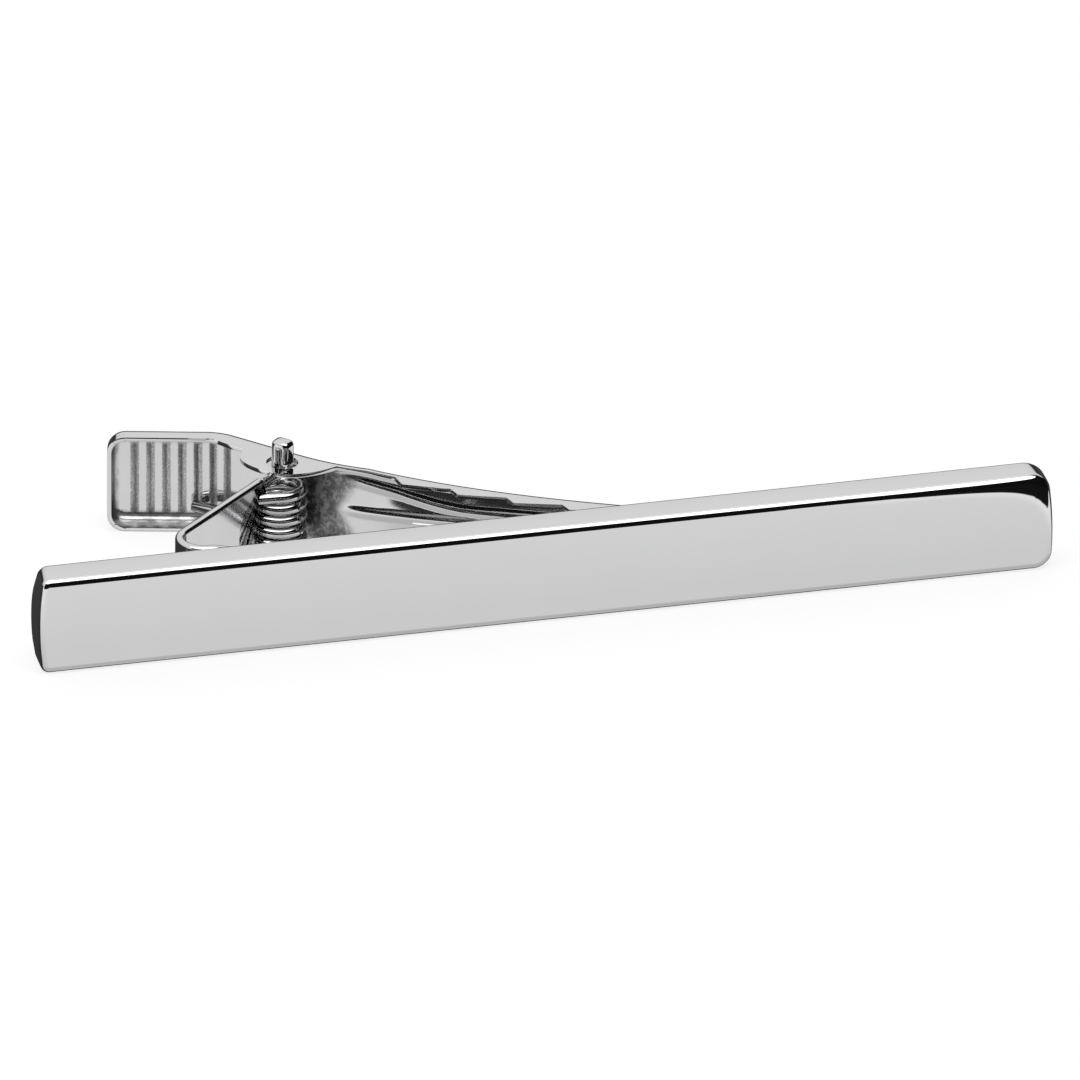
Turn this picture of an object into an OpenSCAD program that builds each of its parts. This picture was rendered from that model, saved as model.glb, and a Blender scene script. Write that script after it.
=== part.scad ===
// Sprung tie clip: polished bar, folded base strip, stamped lever and torsion spring.
// The origin is the centre of the bar's front. X runs along the bar, Y goes back from its front,
// and Z goes up across its width. All lengths are in millimetres.

/* [Bar] */
// Length of the bar
bar_l = 60; // [52:1:75]
// Width of the bar, which stands upright here
bar_w = 6; // [6:0.1:9]
// Thickness of the bar
bar_t = 2.4; // [1.6:0.1:3.2]
// Rounding of the bar's long edges
bar_edge_r = 0.4; // [0.2:0.05:0.6]
// Radius of the four corners of the bar's front
bar_corner_r = 1; // [0.7:0.1:1.6]
// How far the middle of each end bulges past its corners
bar_bulge = 0.2; // [0:0.05:0.5]

/* [Base strip] */
// Thickness of the strip's sheet
strip_t = 0.55; // [0.4:0.05:0.7]
// Width of the strip
strip_w = 5.7; // [5.4:0.1:5.8]
// Inside radius of the fold
fold_r = 1.15; // [0.8:0.05:1.6]
// Angle between the strip's two legs
fold_angle = 43; // [38:1:46]
// Distance from the bar's left end to the fold's outermost point
fold_inset = 9.05; // [7:0.05:12]
// Length of the leg soldered to the bar, from the fold to its free end
base_leg_l = 13; // [9:0.5:18]
// Length of the diagonal leg, from the fold to the pivot line
post_l = 10.2; // [9.4:0.1:12]
// Distance from the window's round end to the pivot line
window_l = 4.6; // [4.4:0.1:5.2]
// Height of the window
window_h = 4.1; // [4:0.05:4.3]
// Distance from the pivot line to the shoulders where the strip narrows to go between the ears
shoulder_l = 2.1; // [2.1:0.1:2.6]

/* [Pivot tabs] */
// Width of the tabs that the lever turns on
tab_w = 0.9; // [0.7:0.1:1.2]
// Diameter of the holes in the lever's ears
hole_d = 1.8; // [1.6:0.05:2]
// Clearance between a tab's corners and the side of the hole that it bears on
tab_clearance = 0.05; // [0.03:0.01:0.09]
// Height of the upper tab above its ear, where it is folded over
tab_head_h = 1.6; // [1.2:0.1:1.8]
// Gap between the upper tab's folded end and the ear
tab_foot_gap = 0.1; // [0.05:0.05:0.3]

/* [Lever] */
// Thickness of the lever's sheet
lever_t = 0.3; // [0.25:0.05:0.4]
// Width of the lever over its pad and ears
lever_w = 6; // [5.8:0.05:6.2]
// Width of the lever's arm at its end
arm_w = 4.2; // [3.6:0.1:5.4]
// Distance from the pivot line to where the arm starts to taper
taper_start = 4.6; // [3.4:0.1:6]
// Outside radius of the bends along the lever's edges
bend_r = 0.7; // [0.5:0.05:0.9]
// Clearance between the lever's ears and the strip's edges
ear_clearance = 0.1; // [0.05:0.05:0.2]
// Distance from the pivot line to the outside of the lever's neck
pivot_depth = 1.85; // [1.8:0.05:2.2]
// How far the ears reach past the pivot line
ear_reach = 1.5; // [1.3:0.1:1.9]
// Length of the ears' blunt side, towards the pad
ear_blunt_l = 2.65; // [2.3:0.05:2.8]
// Length of the ears' sloping side, towards the arm
ear_slope_l = 2.8; // [2.4:0.1:3.4]
// Depth of the neck's sides beside the ears
neck_depth = 1.65; // [1.5:0.05:1.8]
// Depth of the arm's sides between the ears and the first tooth
waist_depth = 0.85; // [0.8:0.05:1.2]

/* [Lever path] */
// Length of the straight part of the thumb pad
pad_l = 5.65; // [4.8:0.05:6.5]
// Length of the bend between pad and neck
pad_bend_l = 1.9; // [1.6:0.1:3]
// Length of the neck on the pad's side of the pivot
neck_pad_l = 4.3; // [3.8:0.1:5]
// Length of the neck on the arm's side of the pivot
neck_arm_l = 0.2; // [0.1:0.1:1]
// Length of the bend between neck and arm
arm_bend_l = 5.5; // [4.5:0.1:6.5]
// Angle of the pad to the bar
pad_angle = -15; // [-20:1:-10]
// Angle of the neck to the bar
neck_angle = -47; // [-50:1:-44]
// Angle of the arm to the bar
arm_angle = -24.8; // [-25.5:0.1:-24.2]

/* [Thumb pad] */
// Depth of the rim round the pad
rim_depth = 1.4; // [1.2:0.05:1.7]
// Radius of the pad's two outer corners
pad_corner_r = 1.2; // [0.8:0.1:1.5]
// Distance from the pad's end to its first rib
rib_start = 1.57; // [1.4:0.01:2]
// Distance from rib to rib
rib_pitch = 0.91; // [0.8:0.01:1]
// Width of a rib
rib_w = 0.56; // [0.4:0.02:0.7]
// Height of a rib
rib_h = 0.17; // [0.08:0.01:0.22]
// Number of ribs
rib_count = 7; // [3:1:8]

/* [Jaw] */
// Distance from the start of the arm to the first tooth
tooth_start = 1; // [0.8:0.05:2]
// Distance from tooth to tooth
tooth_pitch = 3.28; // [2.8:0.02:3.6]
// Number of teeth on each side of the arm
tooth_count = 5; // [3:1:5]
// Depth of the arm's sides at the first tooth
tooth_depth = 1.56; // [1.5:0.02:2]
// How far the notch before a tooth is cut back
tooth_rise = 0.56; // [0.3:0.02:0.64]
// Length of the steep side of a tooth
tooth_step = 0.55; // [0.3:0.05:0.9]
// Length of the arm past its last tooth
jaw_end_l = 0.35; // [0.2:0.05:0.8]
// Gap between the closed jaw and the bar
jaw_gap = 0.03; // [0.02:0.01:0.1]
// Height of the bead pressed into the arm
bead_h = 0.45; // [0.2:0.05:0.6]

/* [Spring] */
// Diameter of the wire
wire_d = 0.44; // [0.3:0.02:0.45]
// Outside diameter of the coil
coil_d = 3.6; // [3:0.1:3.7]
// Height of the coil between the centres of its end turns
coil_h = 3.4; // [3.3:0.05:3.5]
// Whole turns of the coil, to which the angle between the legs adds
coil_turns = 3; // [2:1:3]
// How far the coil sits from the pivot line, towards the fold
coil_shift = 0.6; // [0.4:0.05:0.7]
// Length of the leg that bears on the pad
pad_leg_l = 6.3; // [5.8:0.1:6.6]
// Length of the leg that goes through the strip's window and bears on its round end
post_leg_l = 2.7; // [2.4:0.1:3]
// Angle between that leg and the strip
post_leg_tilt = 47; // [46:1:56]
// Gap left between the leg's end and the pad
leg_gap = 0.04; // [0.02:0.01:0.1]

/* [Hidden] */

polished = [0.80, 0.80, 0.81];
nickel = [0.74, 0.74, 0.75];
spring_steel = [0.70, 0.70, 0.71];

arc_steps = 6;
bar_half_w = bar_w / 2;

fold_mid_r = fold_r + strip_t / 2;
fold_outer_r = fold_r + strip_t;
fold_centre = [-bar_l / 2 + fold_inset + fold_outer_r, bar_t + fold_outer_r];
post_dir = [cos(fold_angle), sin(fold_angle)];
post_out = [-sin(fold_angle), cos(fold_angle)];
post_start = fold_centre + fold_mid_r * post_out;
pivot = post_start + post_l * post_dir;

lever_half_w = lever_w / 2;
strip_half_w = strip_w / 2;
root_half_w = lever_half_w - lever_t - ear_clearance;
hole_r = hole_d / 2;

// The tabs bear on the side of their holes that is nearer the fold
tab_from = post_l - sqrt(pow(hole_r - tab_clearance, 2) - pow(strip_t / 2, 2));
post_end = tab_from + tab_w;

// Stations along the outside of the lever, measured from the pad's end
pad_end_s = pad_l;
neck_start_s = pad_end_s + pad_bend_l;
pivot_s = neck_start_s + neck_pad_l;
neck_end_s = pivot_s + neck_arm_l;
arm_start_s = neck_end_s + arm_bend_l;
last_tooth_s = arm_start_s + tooth_start + (tooth_count - 1) * tooth_pitch;
lever_end_s = last_tooth_s + jaw_end_l;
taper_s = pivot_s + taper_start;
taper_power = 2.5;
rim_corner_floor = 0.02;

function radians(a) = a * PI / 180;
function clamp01(t) = max(0, min(1, t));
function ease(t) = let (c = clamp01(t)) c * c * (3 - 2 * c);
function blend(a, b, t) = a + (b - a) * t;
function polar(r, a) = [r * cos(a), r * sin(a)];

// Step along a stretch whose heading turns evenly from a0 to a1
function stretch(a0, a1, l) =
    abs(a1 - a0) < 0.001
        ? l * [cos(a0), sin(a0)]
        : let (r = l / radians(a1 - a0)) r * [sin(a1) - sin(a0), cos(a0) - cos(a1)];

function heading(s) =
    s <= pad_end_s ? pad_angle
    : s <= neck_start_s ? blend(pad_angle, neck_angle, (s - pad_end_s) / pad_bend_l)
    : s <= neck_end_s ? neck_angle
    : s <= arm_start_s ? blend(neck_angle, arm_angle, (s - neck_end_s) / arm_bend_l)
    : arm_angle;

function outward(s) = [-sin(heading(s)), cos(heading(s))];

// Path from the pad's end to station s, before it is set against the pivot
function travel(s) =
    s <= pad_end_s ? stretch(pad_angle, pad_angle, s)
    : s <= neck_start_s ? travel(pad_end_s) + stretch(pad_angle, heading(s), s - pad_end_s)
    : s <= neck_end_s ? travel(neck_start_s) + stretch(neck_angle, neck_angle, s - neck_start_s)
    : s <= arm_start_s ? travel(neck_end_s) + stretch(neck_angle, heading(s), s - neck_end_s)
    : travel(arm_start_s) + stretch(arm_angle, arm_angle, s - arm_start_s);

pad_end_point = pivot + pivot_depth * outward(pivot_s) - travel(pivot_s);
function on_lever(s) = pad_end_point + travel(s);

// Points along each end of the bar, between its corners
end_points = 5;
end_marks = [for (i = [1:end_points]) 2 * i / (end_points + 1) - 1];

// Outline of the bar's front, inset evenly, as a rounded rectangle with bulging ends
function corner(x, z, r, start) = [for (i = [0:arc_steps]) [x, z] + polar(r, start + 90 * i / arc_steps)];
function bar_outline(inset) = let (
    r = bar_corner_r - inset,
    x = bar_l / 2 - inset - r,
    z = bar_half_w - inset - r,
    outline = concat(
        corner(x, z, r, 0),
        corner(-x, z, r, 90),
        [for (m = end_marks) [-x - r, -m * z]],
        corner(-x, -z, r, 180),
        corner(x, -z, r, 270),
        [for (m = end_marks) [x + r, m * z]]
    )
) [for (p = outline) [p[0] - sign(p[0]) * bar_bulge * pow(p[1] / bar_half_w, 2), p[1]]];

// Layers of the bar from front to back, each as its inset and its depth
function bar_layers() = concat(
    [for (i = [0:arc_steps]) let (a = 90 * i / arc_steps)
        [bar_edge_r * (1 - sin(a)), bar_edge_r * (1 - cos(a))]],
    [for (i = [arc_steps:-1:0]) let (a = 90 * i / arc_steps)
        [bar_edge_r * (1 - sin(a)), bar_t - bar_edge_r * (1 - cos(a))]]
);

// Skin of a closed loft whose rings all have n points, with flat convex ends
function loft_faces(rings, n) = concat(
    [for (i = [1:n - 2]) [0, i, i + 1]],
    [for (j = [0:rings - 2], i = [0:n - 1]) let (k = (i + 1) % n)
        [j * n + i, (j + 1) * n + i, (j + 1) * n + k]],
    [for (j = [0:rings - 2], i = [0:n - 1]) let (k = (i + 1) % n)
        [j * n + i, (j + 1) * n + k, j * n + k]],
    [for (i = [1:n - 2]) let (b = (rings - 1) * n) [b, b + i + 1, b + i]]
);

module bar() {
    rings = [for (layer = bar_layers()) [for (p = bar_outline(layer[0])) [p[0], layer[1], p[1]]]];
    color(polished)
        polyhedron(
            points = [for (ring = rings, p = ring) p],
            faces = loft_faces(len(rings), len(rings[0]))
        );
}

// The strip as it lies in plan: soldered leg, fold, and diagonal leg up to the pivot tabs
module strip_plan() {
    leg_end_x = fold_centre[0] + base_leg_l;
    fold_sweep = 180 - fold_angle;
    fold_steps = 3 * arc_steps;
    outer_arc = [for (i = [0:fold_steps])
        fold_centre + polar(fold_outer_r, 270 - fold_sweep * i / fold_steps)];
    inner_arc = [for (i = [fold_steps:-1:0])
        fold_centre + polar(fold_r, 270 - fold_sweep * i / fold_steps)];
    polygon(concat(
        [[leg_end_x, bar_t]],
        outer_arc,
        [
            post_start + strip_t / 2 * post_out + post_end * post_dir,
            post_start - strip_t / 2 * post_out + post_end * post_dir
        ],
        inner_arc,
        [[leg_end_x, bar_t + strip_t]]
    ));
}

// Stands a flat shape, drawn along the diagonal leg and up, in the plane of that leg
module in_post_plane(thickness) {
    translate([post_start[0], post_start[1], 0])
        rotate([0, 0, fold_angle])
            rotate([90, 0, 0])
                translate([0, 0, -thickness / 2])
                    linear_extrude(thickness) children();
}

// Window for the coil, open towards the end of the diagonal leg
module window_shape() {
    round_x = post_l - window_l + window_h / 2;
    translate([round_x, 0])
        circle(window_h / 2, $fn = 48);
    translate([round_x, -window_h / 2])
        square([post_end - round_x + strip_t, window_h]);
}

// What is cut from the strip's edges past the shoulders
module shoulder_shapes() {
    cut_h = strip_half_w;
    for (from_z = [root_half_w, -root_half_w - cut_h])
        translate([post_l - shoulder_l, from_z])
            square([shoulder_l + tab_w, cut_h]);
}

// Upper tab, which is folded over its ear, seen along the diagonal leg
module folded_tab_shape() {
    head_z = lever_half_w + tab_head_h;
    foot_z = lever_half_w + tab_foot_gap;
    bend_z = head_z - strip_t;
    translate([-strip_t / 2, bend_z])
        circle(strip_t, $fn = 32);
    translate([-strip_t / 2, window_h / 2])
        square([strip_t, bend_z - window_h / 2]);
    translate([-3 / 2 * strip_t, foot_z])
        square([strip_t, bend_z - foot_z]);
}

// Lower tab, flush with its ear
module lower_tab_shape() {
    translate([-strip_t / 2, -lever_half_w])
        square([strip_t, lever_half_w - window_h / 2]);
}

// Stands a flat shape, drawn across the diagonal leg and up, along the tabs' width
module along_tabs() {
    translate([post_start[0], post_start[1], 0])
        rotate([0, 0, fold_angle])
            translate([tab_from, 0, 0])
                rotate([90, 0, 90])
                    linear_extrude(tab_w) children();
}

module base_strip() {
    cutter_t = 2 * strip_t;
    color(nickel)
        union() {
            difference() {
                translate([0, 0, -strip_half_w])
                    linear_extrude(strip_w) strip_plan();
                in_post_plane(cutter_t) window_shape();
                in_post_plane(cutter_t) shoulder_shapes();
            }
            along_tabs() folded_tab_shape();
            along_tabs() lower_tab_shape();
        }
}

// Half the lever's width at station s, with the pad's round corners and the arm's taper
function half_w(s) =
    s < pad_corner_r
        ? lever_half_w - pad_corner_r + sqrt(pow(pad_corner_r, 2) - pow(pad_corner_r - s, 2))
        : let (left = clamp01((lever_end_s - s) / (lever_end_s - taper_s)))
            blend(arm_w, lever_w, pow(left, taper_power)) / 2;

// Depth at which the edge of the arm's sides lies on the bar's back, a gap short of it
function closing_depth(s) = (on_lever(s)[1] - bar_t - jaw_gap) / cos(arm_angle);

// Depth of the arm's sides where a tooth has its tip, so that the last one meets the bar
function tip_depth(k) = blend(tooth_depth, closing_depth(last_tooth_s), k / (tooth_count - 1));
function tooth_s(k) = arm_start_s + tooth_start + k * tooth_pitch;
hair = 0.0001;

function jaw_depth(s) = let (
    k = max(0, min(tooth_count - 1, ceil((s - tooth_s(0)) / tooth_pitch - hair))),
    tip = tooth_s(k),
    root = k == 0 ? waist_depth : tip_depth(k) - tooth_rise,
    ramp_l = tooth_pitch - tooth_step
) s > tip ? closing_depth(s)
    : s > tip - tooth_step ? blend(root, tip_depth(k), (s - tip + tooth_step) / tooth_step)
    : k == 0 ? waist_depth
    : blend(tip_depth(k - 1), root, (s - tooth_s(k - 1)) / ramp_l);

// Depth of the lever's sides, without the ears
rim_fade = pad_bend_l + 1;
function side_depth(s) =
    s < pad_end_s ? rim_depth
    : s < pivot_s ? blend(rim_depth, neck_depth, ease((s - pad_end_s) / rim_fade))
    : s < arm_start_s ? waist_depth
    : jaw_depth(s);

// The ears stand out of the sides as lobes, blunt towards the pad and sloping towards the arm
ear_power = 2.5;
function ear_share(s) = s < pivot_s
    ? let (t = min(1, (pivot_s - s) / ear_blunt_l)) pow(1 - pow(t, ear_power), 1 / ear_power)
    : 1 - pow(clamp01((s - pivot_s) / ear_slope_l), 2);
function depth(s) = blend(side_depth(s), pivot_depth + ear_reach, ear_share(s));

function rib_s(k) = rib_start + k * rib_pitch;
function rib_lift(s) = let (
    k = max(0, min(rib_count - 1, round((s - rib_start) / rib_pitch))),
    t = abs(s - rib_s(k)) / (rib_w / 2)
) t >= 1 ? 0 : -rib_h * pow(cos(90 * t), 2);

// The bead rises and runs out over a short length at each end of the arm
bead_start_s = arm_start_s - 0.6;
bead_fade = 2;
function bead_lift(s) =
    bead_h * ease((s - bead_start_s) / bead_fade) * ease((lever_end_s - s) / bead_fade);

// How far round the pad's end the outside has turned in towards the rim
function end_round(s) = s >= bend_r ? 0 : bend_r - sqrt(pow(bend_r, 2) - pow(bend_r - s, 2));

// Half a section across the lever, from the free edge of a side to the middle of the web:
// pairs of points on the outside and the inside, each as depth and height
// The places of points across half of the web are shares of its half width
web_marks = [0.78, 0.38, 0];
bend_angles = [0, 30, 60, 90];
function half_section(s) = let (
    h = half_w(s),
    f = depth(s),
    web = end_round(s),
    floor = s <= lever_t ? f - rim_corner_floor : 0,
    inner_r = bend_r - lever_t
) concat(
    [[[f, h], [f, h - lever_t]]],
    [for (a = bend_angles) [
        [bend_r - (bend_r - web) * sin(a), h - bend_r + bend_r * cos(a)],
        [max(floor, bend_r - inner_r * sin(a)), h - bend_r + inner_r * cos(a)]
    ]],
    [for (m = web_marks) let (
        lift = rib_lift(s) + pow(cos(90 * m), 2) * bead_lift(s),
        z = m * (h - bend_r)
    ) [[web + lift, z], [max(floor, lever_t + lift), z]]]
);

function section(s) = let (half = half_section(s), n = len(half)) concat(
    half,
    [for (i = [n - 2:-1:0]) [for (p = half[i]) [p[0], -p[1]]]]
);

function placed(s, p) = let (q = on_lever(s) - p[0] * outward(s)) [q[0], q[1], p[1]];

function sorted(v) = len(v) < 2 ? v : let (
    m = v[floor(len(v) / 2)]
) concat(
    sorted([for (x = v) if (x < m) x]),
    [m],
    sorted([for (x = v) if (x > m) x])
);

// Stations that are closer than this are one station
least_step = 0.02;
function spaced(v) = [for (i = [0:len(v) - 1]) if (i == 0 || v[i] - v[i - 1] > least_step) v[i]];

function steps(from, to, n) = [for (i = [0:n]) blend(from, to, i / n)];
ear_steps = 8;
first_notch_s = tooth_s(0) - tooth_step;
lever_stations = spaced(sorted(concat(
    [for (a = steps(0, 90, 4)) pad_corner_r * (1 - cos(a))],
    [lever_t],
    [for (k = [0:rib_count - 1], t = steps(-0.5, 0.5, 4)) rib_s(k) + t * rib_w],
    steps(pad_end_s, neck_start_s, 5),
    [for (a = steps(0, 90, ear_steps)) pivot_s - ear_blunt_l * cos(a)],
    [for (a = steps(0, 90, ear_steps)) pivot_s + ear_slope_l * sin(a)],
    steps(pivot_s + ear_slope_l, arm_start_s, 3),
    steps(arm_start_s, first_notch_s, 4),
    [for (k = [0:tooth_count - 1]) tooth_s(k)],
    [for (k = [0:tooth_count - 1]) tooth_s(k) - tooth_step],
    [for (k = [0:tooth_count - 2]) tooth_s(k) + (tooth_pitch - tooth_step) / 2],
    [lever_end_s]
)));

// Skin of a channel whose sections are n pairs of outside and inside points
function channel_faces(rings, n) = let (
    at = function (j, i, side) 2 * (j * n + i) + side,
    quad = function (a, b, c, d) [[a, b, c], [a, c, d]]
) [
    for (q = concat(
        [for (j = [0:rings - 2], i = [0:n - 2])
            quad(at(j, i, 0), at(j, i + 1, 0), at(j + 1, i + 1, 0), at(j + 1, i, 0))],
        [for (j = [0:rings - 2], i = [0:n - 2])
            quad(at(j, i, 1), at(j + 1, i, 1), at(j + 1, i + 1, 1), at(j, i + 1, 1))],
        [for (j = [0:rings - 2])
            quad(at(j, 0, 0), at(j + 1, 0, 0), at(j + 1, 0, 1), at(j, 0, 1))],
        [for (j = [0:rings - 2]) let (e = n - 1)
            quad(at(j, e, 0), at(j, e, 1), at(j + 1, e, 1), at(j + 1, e, 0))],
        [for (i = [0:n - 2])
            quad(at(0, i, 0), at(0, i, 1), at(0, i + 1, 1), at(0, i + 1, 0))],
        [for (i = [0:n - 2]) let (j = rings - 1)
            quad(at(j, i, 0), at(j, i + 1, 0), at(j, i + 1, 1), at(j, i, 1))]
    )) for (t = q) t
];

module lever() {
    sections = [for (s = lever_stations) section(s)];
    points = [for (j = [0:len(sections) - 1], pair = sections[j], p = pair)
        placed(lever_stations[j], p)];
    color(polished)
        difference() {
            polyhedron(points = points, faces = channel_faces(len(sections), len(sections[0])));
            translate([pivot[0], pivot[1], -lever_w])
                cylinder(h = 2 * lever_w, r = hole_r, $fn = 48);
        }
}

// Route of the spring's wire: points, each with the direction of its side
coil_r = (coil_d - wire_d) / 2;
coil_centre = pivot - coil_shift * post_dir;

// The leg on the pad leaves the coil so that its end lies on the inside of the pad
pad_out = [-sin(pad_angle), cos(pad_angle)];
pad_reach = (pad_end_point - coil_centre) * pad_out - lever_t - wire_d / 2 - leg_gap;
pad_leg_angle = pad_angle + 90 + atan2(coil_r, pad_leg_l) + acos(pad_reach / norm([coil_r, pad_leg_l]));
pad_touch_angle = pad_leg_angle - 90;
post_leg_angle = 180 + fold_angle - post_leg_tilt;
post_touch_angle = post_leg_angle + 90 - 360 * (coil_turns + 1);
coil_sweep = post_touch_angle - pad_touch_angle;
rings_per_curl = 8;
coil_rings = ceil(abs(coil_sweep) / 360 * rings_per_curl);

function coil_point(t) = let (a = pad_touch_angle + t * coil_sweep, p = coil_centre + polar(coil_r, a))
    [p[0], p[1], coil_h * (t - 0.5), a];
pad_leg_dir = polar(1, pad_leg_angle);
post_leg_dir = polar(1, post_leg_angle);
function beside(p, dir, l) = [p[0] + l * dir[0], p[1] + l * dir[1], p[2], p[3]];

spring_route = concat(
    [for (l = [pad_leg_l, pad_leg_l - wire_d]) beside(coil_point(0), pad_leg_dir, l)],
    [for (i = [0:coil_rings]) coil_point(i / coil_rings)],
    [for (l = [post_leg_l - wire_d, post_leg_l]) beside(coil_point(1), post_leg_dir, l)]
);

wire_sides = 6;
function wire_ring(p) = [
    for (i = [0:wire_sides - 1]) let (b = 360 * i / wire_sides, r = wire_d / 2)
        [p[0] + r * cos(b) * cos(p[3]), p[1] + r * cos(b) * sin(p[3]), p[2] + r * sin(b)]
];

// Least gap between the wire and its own neighbouring turns
function place(p) = [p[0], p[1], p[2]];
spring_self_gap = min([
    for (i = [0:len(spring_route) - 1], j = [i + rings_per_curl / 2:1:len(spring_route) - 1])
        norm(place(spring_route[i]) - place(spring_route[j]))
]) - wire_d;
echo(spring_self_gap = spring_self_gap);

module spring() {
    color(spring_steel)
        polyhedron(
            points = [for (p = spring_route) each wire_ring(p)],
            faces = loft_faces(len(spring_route), wire_sides)
        );
}

bar();
base_strip();
lever();
spring();
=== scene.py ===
import math
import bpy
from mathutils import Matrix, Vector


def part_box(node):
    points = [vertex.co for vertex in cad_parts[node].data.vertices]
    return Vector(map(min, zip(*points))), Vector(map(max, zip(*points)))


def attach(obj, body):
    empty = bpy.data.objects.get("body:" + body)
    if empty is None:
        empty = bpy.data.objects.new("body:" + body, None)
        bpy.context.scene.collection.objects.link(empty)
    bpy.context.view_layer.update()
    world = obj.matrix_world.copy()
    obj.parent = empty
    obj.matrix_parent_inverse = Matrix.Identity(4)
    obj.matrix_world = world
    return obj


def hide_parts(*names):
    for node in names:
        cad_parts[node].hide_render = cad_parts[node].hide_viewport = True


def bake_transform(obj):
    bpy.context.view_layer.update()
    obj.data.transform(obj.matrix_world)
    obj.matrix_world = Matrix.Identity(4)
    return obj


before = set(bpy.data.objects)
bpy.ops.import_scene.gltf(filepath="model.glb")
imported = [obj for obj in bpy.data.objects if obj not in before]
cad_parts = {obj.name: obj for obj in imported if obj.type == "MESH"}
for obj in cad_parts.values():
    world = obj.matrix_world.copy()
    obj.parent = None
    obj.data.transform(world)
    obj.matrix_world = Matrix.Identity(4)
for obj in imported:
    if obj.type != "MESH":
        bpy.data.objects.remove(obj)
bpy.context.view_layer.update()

from types import SimpleNamespace

import bmesh
import bpy
from bpy.props import FloatProperty, FloatVectorProperty, IntProperty, PointerProperty
from mathutils import Matrix, Vector

bl_info = {
    "name": "Sprung tie clip",
    "version": (1, 0, 0),
    "blender": (4, 5, 0),
    "location": "3D View > Sidebar > Tie clip",
    "description": "Builds a polished tie bar with its folded strip, toothed lever and spring",
    "category": "Add Mesh",
}

MM = 0.001
FLOOR_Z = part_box("bar")[0].z
# A number too small to matter, as a distance, a share or an angle
NUDGE = 1e-4
X, Y, Z = range(3)


def length(name, description, default):
    """A length property, whose default is given in millimetres."""
    return FloatProperty(
        name=name, description=description, default=default * MM, unit="LENGTH", precision=5)


def angle(name, description, default):
    """An angle property, whose default is given in degrees."""
    return FloatProperty(
        name=name, description=description, default=math.radians(default), subtype="ANGLE")


def colour(name, description, default):
    """A colour property."""
    return FloatVectorProperty(
        name=name, description=description, default=default, size=3, min=0, max=1, subtype="COLOR")


def in_mm(group):
    """The values of a property group, with its lengths in millimetres."""
    values = SimpleNamespace()
    for prop in group.bl_rna.properties:
        if prop.identifier in ("rna_type", "name"):
            continue
        value = getattr(group, prop.identifier)
        setattr(values, prop.identifier, value / MM if getattr(prop, "unit", "") == "LENGTH" else value)
    return values


class BarSizes(bpy.types.PropertyGroup):
    length: length("Length", "Length of the bar", 60)
    width: length("Width", "Width of the bar, which stands upright here", 6)
    depth: length("Thickness", "Thickness of the bar", 2.4)
    edge_r: length("Edge radius", "Rounding of the bar's long edges", 0.4)
    corner_r: length("Corner radius", "Radius of the four corners of the bar's front", 1)
    dub_r: length("Dubbed corner radius", "Radius of the bar's upper right corner", 1.25)
    left_r: length("Left corner radius", "Radius of the crisper corners at the bar's left end", 0.45)
    left_tuck: length("Left tuck", "How far the back of the left end is rounded in at its corners", 0.4)
    crown: length("Crown", "How far polishing has rounded the long faces off towards their edges", 0.03)
    bulge: length("End bulge", "How far the middle of each end bulges past its corners", 0.2)
    dub: length("Dubbed corner", "How far polishing has rolled the front back at its right end", 0.2)


class StripSizes(bpy.types.PropertyGroup):
    sheet: length("Sheet", "Thickness of the strip's sheet", 0.55)
    width: length("Width", "Width of the strip", 5.7)
    fold_r: length("Fold radius", "Inside radius of the fold", 1.15)
    fold_angle: angle("Fold angle", "Angle between the strip's two legs", 43)
    fold_inset: length("Fold inset", "Distance from the bar's left end to the fold's outermost point", 9.05)
    base_leg: length("Soldered leg", "Length of the leg soldered to the bar", 13)
    post: length("Diagonal leg", "Length of the diagonal leg up to the pivot line", 10.2)
    window_l: length("Window length", "Distance from the window's round end to the pivot line", 4.6)
    window_h: length("Window height", "Height of the window", 4.1)
    shoulder: length("Shoulder", "Distance from the pivot line to the shoulders", 2.1)
    root_w: length("Width past the shoulders", "Width of the strip between the lever's ears", 5.2)
    tab_w: length("Tab width", "Width of the two pivot tabs", 0.9)
    tab_clear: length("Tab clearance", "Gap between a tab's corners and the side of its hole", 0.05)
    head_h: length("Tab head", "Height of the upper tab above its ear", 1.6)
    leg_tuck: length("Leg tuck", "How far each edge of the soldered leg is set in behind the bar", 0.26)
    foot_gap: length("Tab foot gap", "Gap between the folded tab's foot and the ear", 0.1)
    layer_gap: length("Tab layer gap", "Gap between the two layers of the folded tab", 0.04)
    edge_r: length("Edge radius", "Rounding of the strip's cut edges", 0.24)


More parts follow.
